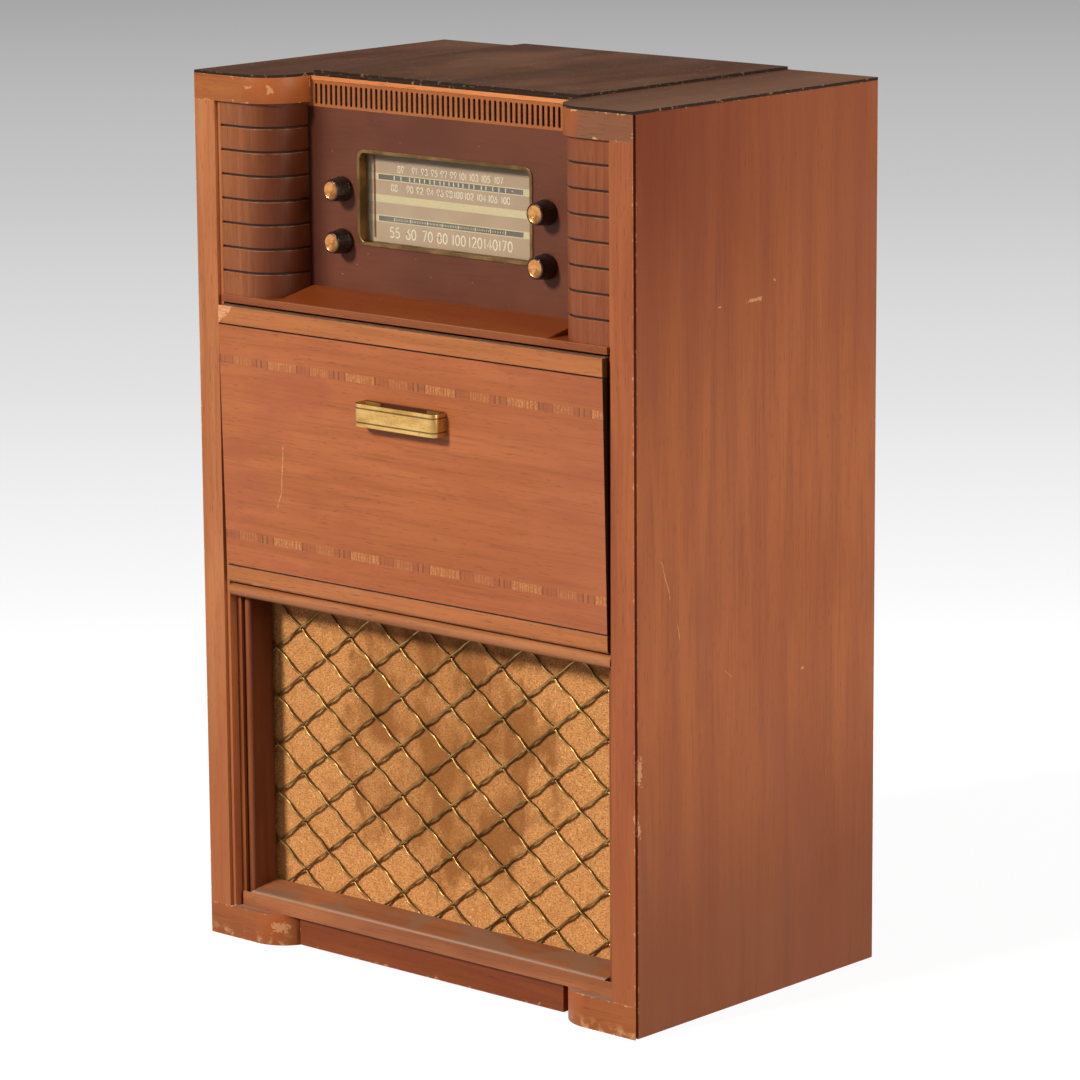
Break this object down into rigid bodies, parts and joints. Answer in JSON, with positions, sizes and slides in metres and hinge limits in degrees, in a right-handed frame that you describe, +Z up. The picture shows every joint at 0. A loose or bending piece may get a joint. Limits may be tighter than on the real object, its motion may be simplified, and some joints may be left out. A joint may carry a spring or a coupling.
{
  "type": "gramophone cabinet",
  "caption": "Upright wooden radio and record player cabinet with ribbed corner columns, a glazed dial, a tilting door over a slide-out record changer and a wire lattice before the speaker",
  "frame": {"origin": "on the floor, under the middle of the overall box", "axes": "+Z up through the height of the cabinet, +X along the front from left to right as seen from the front, -Y out of the front"},
  "size_m": [0.598, 0.4036, 0.928],
  "materials": {
    "front_wood": "golden brown veneer under clear lacquer, worn to the pale wood along the edges",
    "side_wood": "red brown veneer under clear lacquer, with scratches and chips",
    "top_wood": "dark brown stained veneer, dull",
    "panel_wood": "maroon brown veneer, satin",
    "bare_wood": "unfinished board",
    "dial_brass": "satin lacquered brass",
    "dial_glass": "clear, clean glass",
    "dial_print": "beige panel printed with cream and dark brown scales",
    "pointer_red": "red pointer",
    "lattice_brass": "dulled brass wire",
    "speaker_cloth": "tan woven cloth",
    "dark_steel": "dark painted steel",
    "cone_paper": "black pressed paper",
    "steel": "plated steel, dull",
    "valve_glass": "clear glass bulb",
    "bush_brass": "plain turned brass",
    "pull_brass": "worn satin brass",
    "changer_enamel": "brown enamel",
    "knob_plastic": "dark brown moulded knob with a spun brass disc in its face"
  },
  "bodies": {
    "cabinet": {"stile_left": "front_wood", "stile_right": "front_wood", "column_left": "front_wood", "column_right": "front_wood", "cap_left": "front_wood", "cap_right": "front_wood", "foot_left": "front_wood", "foot_right": "front_wood", "vent_grille": "front_wood", "header_rail": "front_wood", "jamb_left": "front_wood", "jamb_right": "front_wood", "sill_rail": "front_wood", "radio_shelf": "front_wood", "side_panel_left": "side_wood", "side_panel_right": "side_wood", "plinth_rail": "side_wood", "top_board": "top_wood", "top_centre_panel": "top_wood", "radio_panel": "panel_wood", "base_board": "bare_wood", "changer_shelf": "bare_wood", "shelf_cleats": "bare_wood", "speaker_baffle": "bare_wood", "dial_bezel": "dial_brass", "dial_glass": "dial_glass", "dial_plate": "dial_print", "wire_lattice": "lattice_brass", "grille_cloth": "speaker_cloth", "speaker_basket": "dark_steel", "output_transformer": "dark_steel", "power_transformer": "dark_steel", "speaker_cone": "cone_paper", "chassis_pan": "steel", "chassis_bolts": "steel", "tuning_stator": "steel", "shaft_controls": "steel", "runner_channels": "steel", "valves": "valve_glass", "pivot_bushes": "bush_brass"},
    "door": {"door_panel": "front_wood", "door_rails": "front_wood", "door_pull": "pull_brass", "door_irons": "steel"},
    "tray": {"changer_tray": "bare_wood", "changer_base": "changer_enamel", "changer_motor": "dark_steel", "record_support": "changer_enamel", "spindle": "steel"},
    "left_link": {"link_left": "steel"},
    "right_link": {"link_right": "steel"},
    "turntable": {"platter": "changer_enamel"},
    "swivel": {"arm_swivel": "changer_enamel"},
    "pickup_arm": {"tone_arm": "changer_enamel"},
    "volume_control": {"volume_knob": "knob_plastic"},
    "tone_control": {"tone_knob": "knob_plastic"},
    "band_control": {"band_knob": "knob_plastic"},
    "tuning_control": {"tuning_knob": "knob_plastic"},
    "pointer": {"dial_pointer": "pointer_red"},
    "gang_rotor": {"tuning_rotor": "steel"}
  },
  "joints": [
    {"name": "door_tilt", "type": "hinge", "parent": "cabinet", "child": "door", "pos_m": [0, -0.17022, 0.397], "axis": [1, 0, 0], "range_deg": [-1.25, 80]},
    {"name": "tray_slide", "type": "slide", "parent": "cabinet", "child": "tray", "axis": [0, -1, 0], "range_m": [-0.0018, 0.1118]},
    {"name": "left_link_pivot", "type": "hinge", "parent": "tray", "child": "left_link", "pos_m": [-0.252, -0.12122, 0.49], "axis": [1, 0, 0], "range_deg": [-0.6, 35.5]},
    {"name": "right_link_pivot", "type": "hinge", "parent": "tray", "child": "right_link", "pos_m": [0.252, -0.12122, 0.49], "axis": [1, 0, 0], "range_deg": [-0.6, 35.5]},
    {"name": "platter_spin", "type": "hinge", "parent": "tray", "child": "turntable", "pos_m": [-0.02, 0.00578, 0.512], "axis": [0, 0, 1], "continuous": true},
    {"name": "arm_yaw", "type": "hinge", "parent": "tray", "child": "swivel", "pos_m": [0.15, 0.11078, 0.52], "axis": [0, 0, 1], "range_deg": [-43, 0]},
    {"name": "arm_lift", "type": "hinge", "parent": "swivel", "child": "pickup_arm", "pos_m": [0.15, 0.11078, 0.548], "axis": [1, 0, 0], "range_deg": [-12, 0]},
    {"name": "volume_turn", "type": "hinge", "parent": "cabinet", "child": "volume_control", "pos_m": [-0.14, -0.12922, 0.8086], "axis": [0, -1, 0], "range_deg": [0, 300]},
    {"name": "tone_turn", "type": "hinge", "parent": "cabinet", "child": "tone_control", "pos_m": [-0.14, -0.12922, 0.7546], "axis": [0, -1, 0], "range_deg": [0, 300]},
    {"name": "band_turn", "type": "hinge", "parent": "cabinet", "child": "band_control", "pos_m": [0.14, -0.12922, 0.8086], "axis": [0, -1, 0], "range_deg": [0, 90]},
    {"name": "tuning_turn", "type": "hinge", "parent": "cabinet", "child": "tuning_control", "pos_m": [0.14, -0.12922, 0.7546], "axis": [0, -1, 0], "range_deg": [0, 1800]},
    {"name": "rotor_turn", "type": "hinge", "parent": "cabinet", "child": "gang_rotor", "pos_m": [0.02, -0.04922, 0.7776], "axis": [0, -1, 0], "range_deg": [0, 180.1]},
    {"name": "pointer_slide", "type": "slide", "parent": "cabinet", "child": "pointer", "axis": [1, 0, 0], "range_m": [0, 0.2005]}
  ],
  "couplings": [
    {"joint": "tray_slide", "follows": "door_tilt", "m_per_rad": 0.08},
    {"joint": "left_link_pivot", "follows": "door_tilt", "ratio": 0.44},
    {"joint": "right_link_pivot", "follows": "door_tilt", "ratio": 0.44},
    {"joint": "rotor_turn", "follows": "tuning_turn", "ratio": 0.1},
    {"joint": "pointer_slide", "follows": "tuning_turn", "m_per_rad": 0.0063662}
  ]
}
